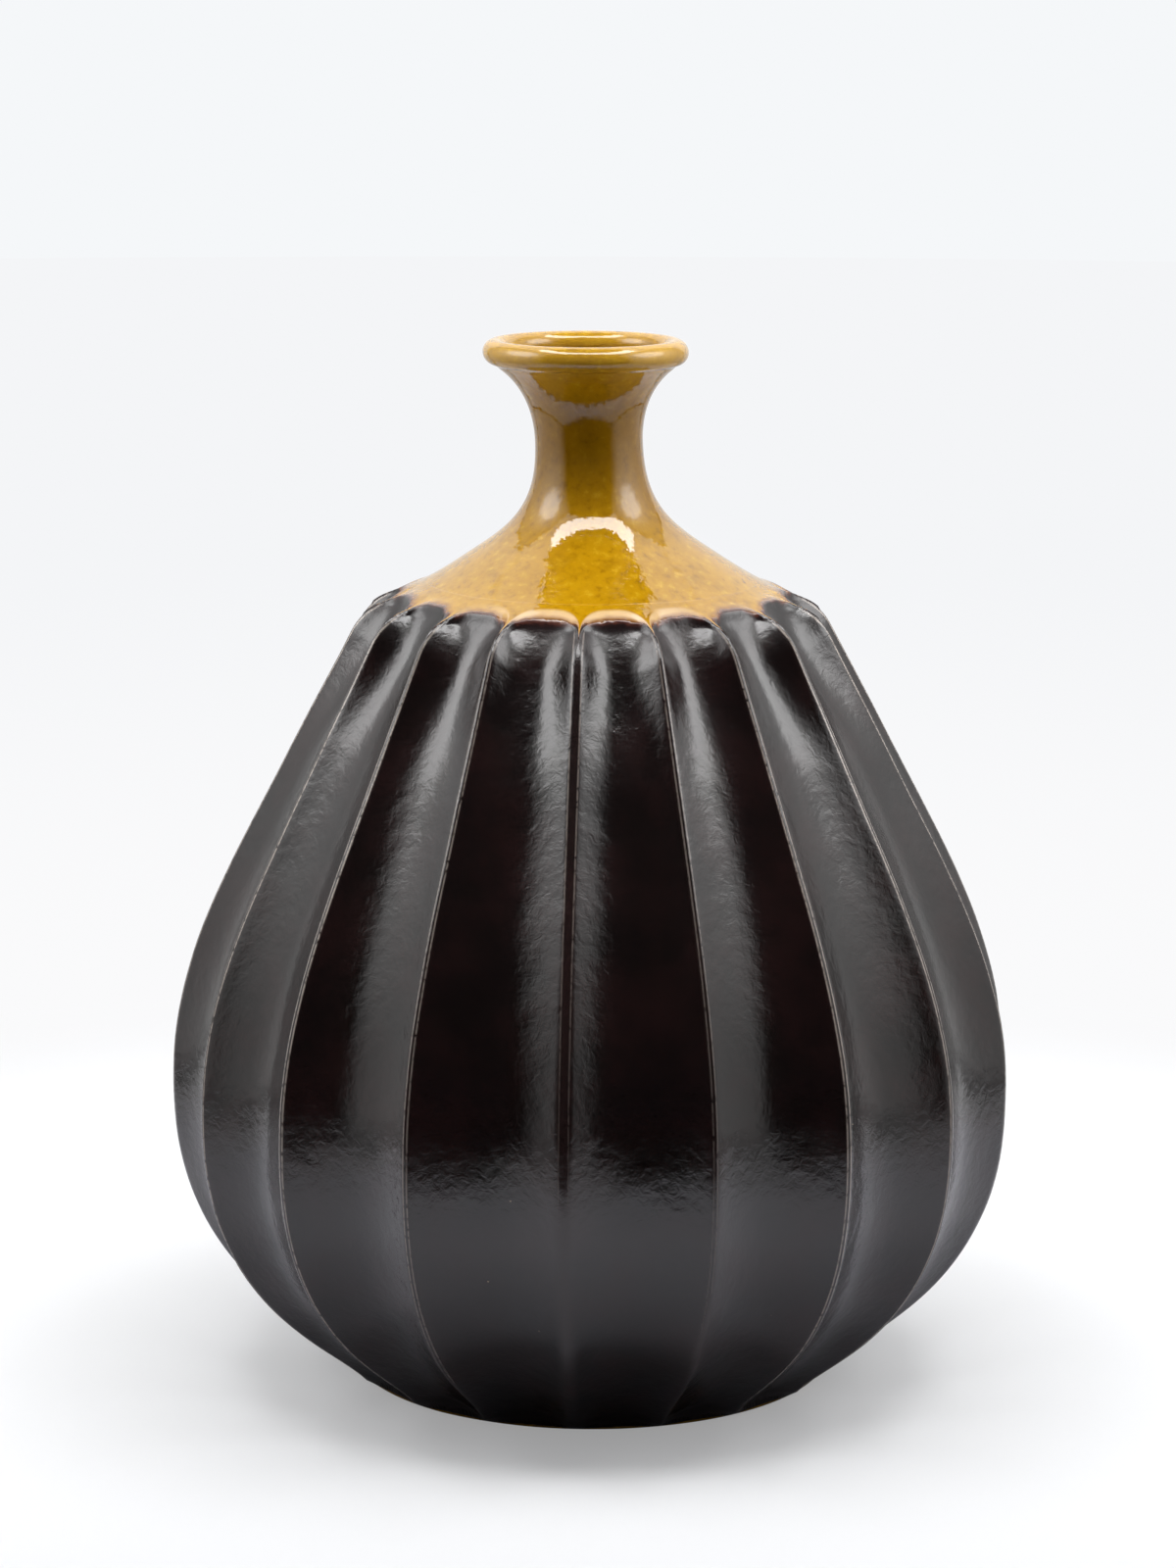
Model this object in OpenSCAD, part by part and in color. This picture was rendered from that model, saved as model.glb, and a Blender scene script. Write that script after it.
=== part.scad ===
// Pumpkin vase: a glazed stoneware bottle with a pear-shaped, fluted body.
//
// The clay is thrown and turned in sections that are luted with slip: a lip with a
// rolled bead, a trumpet neck, a smooth shoulder, the fluted body, a floor disc and
// a low foot ring.  Round tools scoop the flutes out of the thick wall, so each flute
// is hollow across, starts in a round arch on the shoulder and leaves a narrow,
// softened ridge between itself and the next.
//
// The vase stands on the plane z = 0 with its axis on z.  The front faces -y.
// Places on the outline are written as [distance from the axis, height].

/* [Whole vase] */
// Height from the table to the top of the lip
height = 280; // [270:1:292]

/* [Lip] */
// Diameter over the rolled lip
lip_d = 54.2; // [51:0.2:58]
// Thickness of the rolled bead
lip_bead_d = 6.7; // [5.8:0.1:7.6]
// Depth of the lip's joint with the neck, below the top of the lip
lip_joint_drop = 8; // [7.6:0.1:9]

/* [Neck] */
// Diameter of the trumpet where it meets the lip
flare_d = 43.2; // [40:0.2:46]
// Wall of the trumpet where it meets the lip, measured level
flare_wall = 3.9; // [3:0.1:5]
// Diameter of the throat, the narrowest place
throat_d = 28.9; // [26:0.1:33]
// Wall of the throat
throat_wall = 4.4; // [3.5:0.1:5.5]
// Depth of the throat below the top of the lip
throat_drop = 27.1; // [24:0.1:30]
// Diameter of the joint between neck and shoulder
neck_foot_d = 58.8; // [54:0.2:64]
// Height of that joint above the shoulder's edge
neck_foot_rise = 16.7; // [15:0.1:19]

/* [Shoulder] */
// Diameter of the joint between shoulder and fluted body
collar_d = 88; // [84:0.5:92]
// Diameter of the shoulder's edge, where the outline turns down
edge_d = 121.4; // [116:0.2:128]
// Depth of the shoulder's edge below the top of the lip
edge_drop = 71.6; // [66:0.2:78]
// Length of outline that the rounding of the edge takes on either side
edge_round = 2.6; // [1.5:0.1:4]
// Wall of the neck's foot and the shoulder, square to the surface
shoulder_wall = 5.2; // [4.4:0.1:6.5]

/* [Body] */
// Widest diameter over the ridges
belly_d = 226.5; // [214:0.5:238]
// Height of the widest place
belly_z = 80; // [74:1:88]
// Diameter over the ridges where the straight side starts to round in
flank_d = 184.9; // [178:0.1:192]
// Depth of that place below the shoulder's edge
flank_drop = 58.4; // [50:0.2:66]
// Diameter over the ridges at the heel
heel_d = 134; // [126:1:142]
// Height of the heel's edge
heel_z = 3; // [2.6:0.1:4]
// Clay left behind the deepest line of a flute
body_wall = 5.5; // [4.5:0.1:7]

/* [Flutes] */
// Number of flutes round the body
flutes = 18; // [14:1:22]
// Depth of a flute below the line between its sharp ridges, as a share of the radius
flute_depth_share = 0.085; // [0.06:0.001:0.1]
// Half width over which a ridge is softened
ridge_soft = 2.85; // [2:0.05:4]
// Extra depth of a flute where it crosses the shoulder's edge
edge_scoop = 2.9; // [0:0.1:3.6]
// Turn of the first ridge away from the front, to the right
first_ridge_turn = -3.9; // [-10:0.1:10]
// Outline length from the collar joint to the top of an arch
arch_top = 2.4; // [1.5:0.1:4]
// Outline length from the top of an arch to the point between two arches
arch_reach = 19; // [16:0.5:22]
// Outline length over which a flute sinks in below its arch
run_in = 13; // [10:0.5:18]

/* [Foot] */
// Diameter over the foot ring
foot_d = 114; // [108:1:118]
// Width of the foot ring
foot_w = 10; // [7:0.5:13]
// Height of the body's underside above the table
foot_reveal = 1.6; // [1.2:0.1:2.4]
// Bevel of the foot ring's two bottom edges
foot_bevel = 0.6; // [0.3:0.1:1]
// Diameter of the floor disc
floor_d = 104; // [98:1:107]
// Thickness of the floor disc
floor_t = 7; // [5:0.5:9]

/* [Hidden] */
$fn = 180;

// Height of the step that centres one luted section on the next
joint_step = 1.5;
// Overrun of every cut past the clay that it leaves
overrun = 4;
// How far along the outline a flute's cutting direction is averaged, either way
lean_reach = 9;
// How far along the outline the extra depth at the shoulder's edge fades, either way
edge_scoop_reach = 12.5;
// Outline length below the arches where the rows of the flutes run level
level_from = 54;
// How far the heel is rounded in below its edge
heel_round = 2.6;
// Outline lengths at the shoulder's edge and at the heel where the hollow leaves the
// line of the flutes, and the steps between
hollow_edge_reach = 18;
hollow_heel_reach = 30;
hollow_side_steps = 24;

amber = "#b0882e";
dark = "#1d1314";
clay = "#c9b79c";

// Outline stations, from the lip down
lip_joint_z = height - lip_joint_drop;
throat_z = height - throat_drop;
edge_z = height - edge_drop;
flank_z = edge_z - flank_drop;
neck_foot_z = edge_z + neck_foot_rise;
bead_r = lip_bead_d / 2;
bead_at = [lip_d / 2 - bead_r, height - bead_r];
flare_at = [flare_d / 2, lip_joint_z];
throat_at = [throat_d / 2, throat_z];
neck_foot_at = [neck_foot_d / 2, neck_foot_z];
edge_at = [edge_d / 2, edge_z];
flank_at = [flank_d / 2, flank_z];
belly_at = [belly_d / 2, belly_z];
heel_at = [heel_d / 2, heel_z];

// Headings of the outline in degrees, level outward = 0 and straight down = -90
flare_heading = -133;
neck_foot_heading = -34.4;
dome_heading = -19;
heel_heading = -133;
hollow_flare_heading = -119;
side_heading = atan2(flank_z - edge_z, flank_at.x - edge_at.x);

// A point that far along a heading
function along(p, heading, reach) = p + reach * [cos(heading), sin(heading)];

// A smooth curve from one station to the next, without its first point.  Each pull is
// a share of the straight distance between the stations.
function sweep_to(a, from_heading, from_pull_share, b, to_heading, to_pull_share, steps) =
    let (
        reach = norm(b - a),
        c = along(a, from_heading, from_pull_share * reach),
        d = along(b, to_heading, -to_pull_share * reach)
    )
    [
        for (i = [1:steps])
            let (t = i / steps, s = 1 - t)
            s * s * s * a + 3 * s * s * t * c + 3 * s * t * t * d + t * t * t * b
    ];

// The outline over the ridges, in three runs
edge_start = along(edge_at, dome_heading, -edge_round);
edge_end = along(edge_at, side_heading, edge_round);
neck_run = concat(
    [flare_at],
    sweep_to(flare_at, flare_heading, 0.28, throat_at, -90, 0.28, 10),
    sweep_to(throat_at, -90, 0.48, neck_foot_at, neck_foot_heading, 0.38, 12)
);
dome_run = sweep_to(neck_foot_at, neck_foot_heading, 0.43, edge_start, dome_heading, 0.36, 16);
body_run = concat(
    sweep_to(edge_start, dome_heading, 0.4, edge_end, side_heading, 0.4, 6),
    sweep_to(edge_end, side_heading, 0.33, flank_at, side_heading, 0.33, 6),
    sweep_to(flank_at, side_heading, 0.54, belly_at, -90, 0.24, 14),
    sweep_to(belly_at, -90, 0.56, heel_at, heel_heading, 0.16, 24)
);

// The collar joint lies on the dome at its own diameter
collar_z = lookup(collar_d / 2, [for (p = concat([neck_foot_at], dome_run)) [p.x, p.y]]);
collar_at = [collar_d / 2, collar_z];

// The outline of the fluted body, with the length run so far at each point
fluted_run = concat([collar_at], [for (p = dome_run) if (p.x > collar_at.x) p], body_run);
run_lengths = [
    for (i = 0, s = 0; i < len(fluted_run); s = s + norm(fluted_run[min(i + 1, len(fluted_run) - 1)] - fluted_run[i]), i = i + 1)
        s
];
run_total = run_lengths[len(run_lengths) - 1];
edge_length = norm(edge_at - collar_at);
run_r = [for (i = [0:len(fluted_run) - 1]) [run_lengths[i], fluted_run[i].x]];
run_z = [for (i = [0:len(fluted_run) - 1]) [run_lengths[i], fluted_run[i].y]];

// The outline at a given length, and the way in from it, square to a stretch of it
function crest(s) = [lookup(s, run_r), lookup(s, run_z)];
function way_in(s) =
    let (
        t = crest(min(s + lean_reach, run_total)) - crest(max(s - lean_reach, 0))
    )
    [t.y, -t.x] / norm(t);

// The hand-cut ridges stand a little off their even places.  The shares are of one
// flute's width, and start at the first ridge and go round to the right.
ridge_off_shares = [
    0.02, -0.01, -0.05, -0.04, 0.07, 0.02, -0.03, 0.01, 0.03,
    -0.02, 0, 0.03, -0.02, 0.01, -0.02, 0, -0.02, -0.02
];
pitch = 360 / flutes;
function ridge_turn(i) =
    first_ridge_turn + pitch * (i + ridge_off_shares[(i % flutes) % len(ridge_off_shares)]);

// Places across a flute, from one ridge (-1) through the deepest line (0)
across_shares = [-1, -0.93, -0.82, -0.62, -0.32, 0, 0.32, 0.62, 0.82, 0.93];
columns = flutes * len(across_shares);
function flute_of(c) = floor(c / len(across_shares));
function across(c) = across_shares[c % len(across_shares)];
function turn_of(c) =
    let (a = ridge_turn(flute_of(c)), b = ridge_turn(flute_of(c) + 1))
    a + (b - a) * (across(c) + 1) / 2;

// Half the width of a flute, measured round the pot
function half_width(c, r) =
    r * (ridge_turn(flute_of(c) + 1) - ridge_turn(flute_of(c))) * PI / 360;

// Outline length of the arch that tops the flute, a half ellipse
function arch_line(u) = arch_top + arch_reach * (1 - sqrt(1 - u * u));

// Depth of a flute: a round scoop between ridges that are softened at the crest.  It
// is deeper across the shoulder's edge, and sinks in from nothing at its arch.
function scoop(from_ridge, half, deep) =
    2 * deep / half * (sqrt(from_ridge * from_ridge + ridge_soft * ridge_soft) - ridge_soft)
    - deep * pow(from_ridge / half, 2);
function deep_at(s) = flute_depth_share * crest(s).x;
function edge_extra(s) =
    edge_scoop * pow(max(1 - pow((s - edge_length) / edge_scoop_reach, 2), 0), 2);
function sink(s, u) = let (q = min(max((s - arch_line(u)) / run_in, 0), 1)) q * (2 - q);
function depth(c, s) =
    let (
        half = half_width(c, crest(s).x),
        u = across(c),
        here = scoop((1 - abs(u)) * half, half, deep_at(s)),
        deepest = scoop(half, half, deep_at(s))
    )
    sink(s, u) * here * (1 + edge_extra(s) / deepest);

// One point of the fluted surface
function skin(c, s) =
    let (p = crest(s) + depth(c, s) * way_in(s), a = turn_of(c))
    [p.x * sin(a), -p.x * cos(a), p.y];

// Rows of the fluted surface: from the collar joint to the arches, from the arches to
// the first level row, and on to the heel.  The rows follow each arch but for the
// steep ends of its line beside the ridges, where they run level.
collar_row_shares = [0, 0.35, 0.7, 1];
arch_row_shares = [0.03, 0.07, 0.12, 0.17, 0.22, 0.3, 0.42, 0.58, 0.78, 1];
steep_end_share = 0.82;
level_rows = 13;
function row_line(u) = arch_line(min(abs(u), steep_end_share));
function collar_row(share) = [for (c = [0:columns - 1]) skin(c, share * row_line(across(c)))];
function arch_row(share) = [
    for (c = [0:columns - 1])
        let (a = row_line(across(c)))
        skin(c, a + share * (level_from - a))
];
function level_row(i) = [
    for (c = [0:columns - 1])
        skin(c, level_from + (run_total - level_from) * i / level_rows)
];
heel_row = level_row(level_rows);
under_row = [
    for (p = heel_row)
        let (r = norm([p.x, p.y]), k = (r - heel_round) / r)
        [p.x * k, p.y * k, foot_reveal]
];
skin_rows = concat(
    [for (share = collar_row_shares) collar_row(share)],
    [for (share = arch_row_shares) arch_row(share)],
    [for (i = [1:level_rows]) level_row(i)],
    [under_row]
);
skin_points = concat(
    [for (row = skin_rows) each row],
    [[0, 0, collar_z], [0, 0, foot_reveal]]
);
top_middle = len(skin_rows) * columns;
under_middle = top_middle + 1;
function at(row, c) = row * columns + c % columns;
skin_faces = concat(
    [
        for (row = [0:len(skin_rows) - 2], c = [0:columns - 1])
            each across(c) < 0
                ? [
                    [at(row, c), at(row, c + 1), at(row + 1, c + 1)],
                    [at(row, c), at(row + 1, c + 1), at(row + 1, c)]
                ]
                : [
                    [at(row, c), at(row, c + 1), at(row + 1, c)],
                    [at(row, c + 1), at(row + 1, c + 1), at(row + 1, c)]
                ]
    ],
    [for (c = [0:columns - 1]) [top_middle, at(0, c + 1), at(0, c)]],
    [for (c = [0:columns - 1]) [under_middle, at(len(skin_rows) - 1, c), at(len(skin_rows) - 1, c + 1)]]
);

// The hollow inside.  The neck's stations stand back from the outside ones by their
// walls, and the side follows the deepest lines of the flutes.
function full_depth(s) =
    let (half = crest(s).x * PI / flutes)
    scoop(half, half, deep_at(s)) + edge_extra(s);
function behind(s) = crest(s) + (body_wall + full_depth(s)) * way_in(s);
function heading_at(s) = let (w = way_in(s)) atan2(w.x, -w.y);
hollow_side_from = edge_length + hollow_edge_reach;
hollow_side_to = run_total - hollow_heel_reach;
floor_top = foot_reveal + floor_t;
hollow_flare_at = flare_at - [flare_wall, 0];
hollow_throat_at = throat_at - [throat_wall, 0];
hollow_neck_foot_at = along(neck_foot_at, neck_foot_heading - 90, shoulder_wall);
hollow_floor_at = [floor_d / 2 + body_wall / 2, floor_top];
hollow_side = [
    for (i = [0:hollow_side_steps])
        behind(hollow_side_from + (hollow_side_to - hollow_side_from) * i / hollow_side_steps)
];
hollow_run = concat(
    [hollow_flare_at],
    sweep_to(hollow_flare_at, hollow_flare_heading, 0.3, hollow_throat_at, -90, 0.3, 8),
    sweep_to(hollow_throat_at, -90, 0.5, hollow_neck_foot_at, neck_foot_heading, 0.3, 10),
    sweep_to(hollow_neck_foot_at, neck_foot_heading, 0.3, hollow_side[0], heading_at(hollow_side_from), 0.2, 12),
    [for (i = [1:hollow_side_steps]) hollow_side[i]],
    sweep_to(hollow_side[hollow_side_steps], heading_at(hollow_side_to), 0.34, hollow_floor_at, 180, 0.34, 8)
);
// Distance from the axis of the hollow's wall at a height
hollow_at_height = [for (i = [len(hollow_run) - 1:-1:0]) [hollow_run[i].y, hollow_run[i].x]];
function hollow_r(z) = lookup(z, hollow_at_height);

// Joints between sections: the upper one steps down inside the middle of the wall
lip_joint_mid = (flare_at.x + hollow_flare_at.x) / 2;
neck_joint_mid = (neck_foot_at.x + hollow_r(neck_foot_z)) / 2;
collar_joint_mid = (collar_at.x + hollow_r(collar_z)) / 2;

// The hollow, run on past the top of the lip joint and the axis
module hollow_2d() {
    polygon(concat([[0, lip_joint_z + overrun], [hollow_flare_at.x, lip_joint_z + overrun]], hollow_run, [[0, floor_top]]));
}

// The turned sections as one solid outline, from the lip joint to below the collar joint
module turned_2d() {
    polygon(concat([[0, lip_joint_z]], neck_run, dome_run, [[edge_start.x, collar_z - overrun], [0, collar_z - overrun]]));
}

// All clay between two joints, with the step of each
module between_joints_2d(low_z, low_mid, high_z, high_mid) {
    difference() {
        union() {
            translate([0, low_z])
                square([edge_d, high_z - low_z]);
            translate([0, low_z - joint_step])
                square([low_mid, joint_step + high_z - low_z]);
        }
        translate([0, high_z - joint_step])
            square([high_mid, joint_step + overrun]);
    }
}

// The rolled lip: a true bead on a short web that steps down into the neck
module lip() {
    color(amber)
        rotate_extrude() {
            union() {
                translate(bead_at)
                    circle(r = bead_r);
                polygon([
                    hollow_flare_at,
                    [lip_joint_mid, lip_joint_z],
                    flare_at,
                    bead_at,
                    [bead_at.x - bead_r, bead_at.y]
                ]);
                translate([hollow_flare_at.x, lip_joint_z - joint_step])
                    square([lip_joint_mid - hollow_flare_at.x, 2 * joint_step]);
            }
        }
}

// The trumpet neck, from the lip down to the springing of the shoulder
module neck() {
    color(amber)
        rotate_extrude()
            intersection() {
                difference() {
                    turned_2d();
                    hollow_2d();
                }
                between_joints_2d(neck_foot_z, neck_joint_mid, lip_joint_z, lip_joint_mid);
            }
}

// The smooth shoulder down to the collar joint, just above the arches
module shoulder() {
    color(amber)
        rotate_extrude()
            intersection() {
                difference() {
                    turned_2d();
                    hollow_2d();
                }
                between_joints_2d(collar_z, collar_joint_mid, neck_foot_z, neck_joint_mid);
            }
}

// The fluted body: the scooped outside, less the hollow, the collar's step and the
// seat of the floor disc
module fluted_body() {
    color(dark)
        difference() {
            polyhedron(points = skin_points, faces = skin_faces);
            rotate_extrude()
                hollow_2d();
            translate([0, 0, collar_z - joint_step])
                cylinder(r = collar_joint_mid, h = joint_step + overrun);
            translate([0, 0, foot_reveal - overrun])
                cylinder(d = floor_d, h = floor_t + 2 * overrun);
        }
}

// The floor disc, flush with the body's underside
module floor() {
    color(clay)
        translate([0, 0, foot_reveal])
            cylinder(d = floor_d, h = floor_t);
}

// The turned foot ring that carries the pot
module foot_ring() {
    color(clay)
        rotate_extrude()
            polygon([
                [foot_d / 2 - foot_bevel, 0],
                [foot_d / 2, foot_bevel],
                [foot_d / 2, foot_reveal],
                [foot_d / 2 - foot_w, foot_reveal],
                [foot_d / 2 - foot_w, foot_bevel],
                [foot_d / 2 - foot_w + foot_bevel, 0]
            ]);
}

lip();
neck();
shoulder();
fluted_body();
floor();
foot_ring();
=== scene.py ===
# %% [markdown]
# # A fluted bottle vase in two glazes
#
# The vase is thrown stoneware. Its pear-shaped body is scooped into upright flutes that
# start in round arches on the shoulder. A glossy amber glaze covers the lip, the neck and
# the shoulder, and a darker aubergine glaze covers the flutes. This lesson turns each
# section, scoops the flutes, mixes the two glazes from nodes, and lights the pot in a
# light tent, because a glossy pot looks like what it reflects.

import math

import bmesh
import bpy
from mathutils import Matrix, Vector, noise
from mathutils.geometry import interpolate_bezier


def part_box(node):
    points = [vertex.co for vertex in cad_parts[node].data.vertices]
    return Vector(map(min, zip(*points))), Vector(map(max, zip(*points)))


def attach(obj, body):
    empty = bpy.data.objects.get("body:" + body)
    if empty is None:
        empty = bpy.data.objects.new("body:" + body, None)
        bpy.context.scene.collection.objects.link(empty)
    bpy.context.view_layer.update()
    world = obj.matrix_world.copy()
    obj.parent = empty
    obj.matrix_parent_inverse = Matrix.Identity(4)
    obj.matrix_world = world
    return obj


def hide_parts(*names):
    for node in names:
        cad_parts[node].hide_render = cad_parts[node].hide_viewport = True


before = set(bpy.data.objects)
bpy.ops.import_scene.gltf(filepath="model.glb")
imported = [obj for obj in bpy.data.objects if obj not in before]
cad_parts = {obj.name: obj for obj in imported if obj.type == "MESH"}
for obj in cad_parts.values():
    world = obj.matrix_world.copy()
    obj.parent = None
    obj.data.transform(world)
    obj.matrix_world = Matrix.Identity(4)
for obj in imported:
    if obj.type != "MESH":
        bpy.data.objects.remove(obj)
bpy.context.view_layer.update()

# %% [markdown]
# ## Sizes
#
# The frame is in metres and a potter thinks in millimetres, so the outline below is worked
# out in millimetres and turned to metres when a mesh is made. What the frame can say, such
# as the diameters and heights of the joints between sections, is read from it. Only the
# stations that lie inside a section, such as the throat and the belly, are named here.

# %% Sizes from the frame
MM = 0.001


def span_mm(node):
    """The diameter, the lowest and the highest place of a section, in millimetres."""
    low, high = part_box(node)
    return (high.x - low.x) / MM, low.z / MM, high.z / MM


lip_d, lip_low, height = span_mm("lip")
shoulder_d, _, shoulder_high = span_mm("shoulder")
floor_d, foot_reveal, floor_top = span_mm("floor")

JOINT_STEP = 1.5
lip_joint_z = lip_low + JOINT_STEP
collar_r = shoulder_d / 2
print(f"lip {lip_d:.1f} mm across, joints at {lip_joint_z:.1f} and {shoulder_high:.1f} mm")

# %% Stations inside the sections
flare_at = Vector((22.6, lip_joint_z))
throat_at = Vector((14.35, height - 27.1))
neck_foot_at = Vector((30.0, shoulder_high))
edge_at = Vector((61.5, 208.8))
edge_round = 6.0
flank_at = Vector((92.45, 150.0))
belly_at = Vector((113.25, 80.0))
heel_at = Vector((67.0, 3.0))

flare_heading = -142
neck_foot_heading = -33.5
dome_heading = -19
heel_heading = -133
side_heading = math.degrees(math.atan2(flank_at.y - edge_at.y, flank_at.x - edge_at.x))
print(f"throat {2 * throat_at.x:.1f} mm and belly {2 * belly_at.x:.1f} mm across")

# %% [markdown]
# ## The outline
#
# A thrown outline is one sweeping line. It could be drawn as a spline object and converted,
# but then nothing else could ask it for a place. Here Blender's own Bezier function draws
# each stretch from one station to the next. At both ends it takes a heading in degrees
# and a pull, which is the handle's share of the stretch. The points are kept as plain
# vectors of distance from the axis and height.

# %% Draw the outline
DOWN = -90


def along(place, heading, reach):
    turn = math.radians(heading)
    return place + reach * Vector((math.cos(turn), math.sin(turn)))


def sweep_to(start, start_heading, start_pull, end, end_heading, end_pull, steps):
    """A smooth stretch from start to end, without its first point."""
    reach = (end - start).length
    start_handle = along(start, start_heading, start_pull * reach)
    end_handle = along(end, end_heading, -end_pull * reach)
    return interpolate_bezier(start, start_handle, end_handle, end, steps + 1)[1:]


edge_start = along(edge_at, dome_heading, -edge_round)
edge_end = along(edge_at, side_heading, edge_round)
neck_line = (
    [flare_at]
    + sweep_to(flare_at, flare_heading, 0.46, throat_at, DOWN, 0.20, 36)
    + sweep_to(throat_at, DOWN, 0.48, neck_foot_at, neck_foot_heading, 0.38, 48)
)
dome_line = [neck_foot_at] + sweep_to(
    neck_foot_at, neck_foot_heading, 0.43, edge_start, dome_heading, 0.36, 80
)
side_line = (
    sweep_to(edge_start, dome_heading, 0.4, edge_end, side_heading, 0.4, 12)
    + sweep_to(edge_end, side_heading, 0.33, flank_at, side_heading, 0.33, 12)
    + sweep_to(flank_at, side_heading, 0.54, belly_at, DOWN, 0.24, 40)
    + sweep_to(belly_at, DOWN, 0.575, heel_at, heel_heading, 0.17, 60)
)
print(f"outline of {len(neck_line) + len(dome_line) + len(side_line)} points")

# %% [markdown]
# ## The collar
#
# The body's own section starts at the collar, a ring on the dome just above the arches.
# Its radius comes from the frame, and its height is where the outline has that radius,
# so that shoulder and body meet without a step. Below it, places on the body are told by
# their run, the length along the outline from the collar.

# %% Part the outline at the collar
COLLAR_CLEAR = 0.1

for before, after in zip(dome_line, dome_line[1:]):
    if before.x <= collar_r < after.x:
        collar_at = before.lerp(after, (collar_r - before.x) / (after.x - before.x))
collar_z = collar_at.y
shoulder_line = [p for p in dome_line if p.x < collar_r - COLLAR_CLEAR] + [collar_at]
body_line = [collar_at] + [p for p in dome_line if p.x > collar_r + COLLAR_CLEAR] + side_line

run_marks = [0.0]
for before, after in zip(body_line, body_line[1:]):
    run_marks.append(run_marks[-1] + (after - before).length)
run_total = run_marks[-1]
edge_run = (edge_at - collar_at).length
print(f"collar at {collar_z:.1f} mm, and a run of {run_total:.1f} mm from there to the heel")

# %% Find places along the run
LEAN_REACH = 9


def outline_at(run):
    """The place on the body's outline at a length from the collar."""
    run = min(max(run, 0.0), run_total)
    low, high = 0, len(run_marks) - 1
    while high - low > 1:
        middle = (low + high) // 2
        low, high = (middle, high) if run_marks[middle] <= run else (low, middle)
    part = (run - run_marks[low]) / (run_marks[high] - run_marks[low])
    return body_line[low].lerp(body_line[high], part)


def way_in(run):
    """The direction into the wall, square to a stretch of the outline."""
    stretch = outline_at(run + LEAN_REACH) - outline_at(run - LEAN_REACH)
    return Vector((stretch.y, -stretch.x)).normalized()


widest_run = max(run_marks, key=lambda run: outline_at(run).x)
print(f"widest {widest_run:.0f} mm below the collar, {2 * outline_at(widest_run).x:.1f} mm across")

# %% [markdown]
# ## The flutes as a formula
#
# Each flute is a round scoop between two ridges. Modelling eighteen of them by hand, or
# cutting them with a boolean, leaves messy edges that a glossy glaze would show. Instead
# the surface is moved inwards by a depth. Across the flute it is a parabola that starts
# at a narrow land, which is what the tool leaves between two flutes, and wider on the
# ridge at the front. At the top a flute ends in an arch, broad at its crown like a
# superellipse, whose rim the tool leaves a little proud.

# %% Ridges, lands and arches
FLUTES = 18
PITCH = 360 / FLUTES
FIRST_RIDGE = -3.9
RIDGE_OFF_SHARES = (
    0.02, -0.01, -0.05, -0.04, 0.07, 0.02, -0.03, 0.01, 0.03,
    -0.02, 0, 0.03, -0.02, 0.01, -0.02, 0, -0.02, -0.02,
)

# LAND is half the flat on a ridge. The crown of an arch lies ARCH_TOP below the collar,
# and its feet ARCH_REACH lower. Its rim stands PROUD, which fades out above it.
LAND = 0.5
FRONT_LAND = 1.2
LAND_EDGE = 0.6
ARCH_TOP = 7.0
ARCH_REACH = 12.0
ARCH_POWER = 3.0
PROUD = 0.45
PROUD_REACH = 5.4


def ridge_turn(index):
    """The angle of a ridge from the front, in degrees, as the hand has cut it."""
    return FIRST_RIDGE + PITCH * (index + RIDGE_OFF_SHARES[index % FLUTES])


def arch_run(across):
    """The run at which a flute starts. Across it goes from -1 to 1."""
    return ARCH_TOP + ARCH_REACH * (1 - (1 - abs(across) ** ARCH_POWER) ** (1 / ARCH_POWER))


def proud_rim(below, across):
    """How far the rim stands proud at a distance below the arch, or above it."""
    share = min(max(1 + below / PROUD_REACH, 0.0), 1.0)
    return PROUD * (1 - across ** 4) * share * share * (3 - 2 * share)


def land_beside(index, across):
    """Half the width of the land on this side of a flute. The front one is wider."""
    at_front = (index == 0 and across < 0) or (index == FLUTES - 1 and across > 0)
    return FRONT_LAND if at_front else LAND


def scoop_share(from_ridge, half, land):
    """0 on the land and 1 at the middle of a flute, with a small round at the land's edge."""
    past_land = from_ridge - land
    share = min((past_land + math.hypot(past_land, LAND_EDGE)) / 2 / (half - land), 1.0)
    return share * (2 - share)


print(f"arches from {arch_run(0):.0f} mm below the collar to {arch_run(1):.0f} mm at the ridges")

# %% [markdown]
# ## The floor of a flute
#
# Low on the pot the depth grows with the radius. Higher up the tool enters at the arch
# and turns down under the shoulder's edge, so there the floor of a flute has its own
# line, and the depth is how far it lies inside the outline. A straighter floor would
# mirror the roof of the tent as a bright patch.

# %% Depth low on the pot
DEPTH_SHARE = 0.085
RIDGE_SOFT = 2.85


def full_depth(radius):
    """Depth at the middle of a flute of even width. Narrow flutes are shallower."""
    half = radius * math.radians(PITCH) / 2
    soft = math.hypot(half, RIDGE_SOFT) - RIDGE_SOFT
    return DEPTH_SHARE * radius * (2 * soft / half - 1)


for radius in (belly_at.x, heel_at.x):
    print(f"a flute at a radius of {radius:.0f} mm is {full_depth(radius):.1f} mm deep")

# %% Depth higher up, from the floor line
# The line starts at the crown of the arch and ends LEVEL_RUN below the collar, where it
# is LEVEL_TURN degrees steeper than the side. EDGE_DEPTH is its depth under the edge.
LEVEL_RUN = 58
LEVEL_TURN = 1.5
EDGE_DEPTH = 7.5
ENTRY_HEADING = -60
UNDER_EDGE_HEADING = -59
SLACK = 0.001


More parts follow.
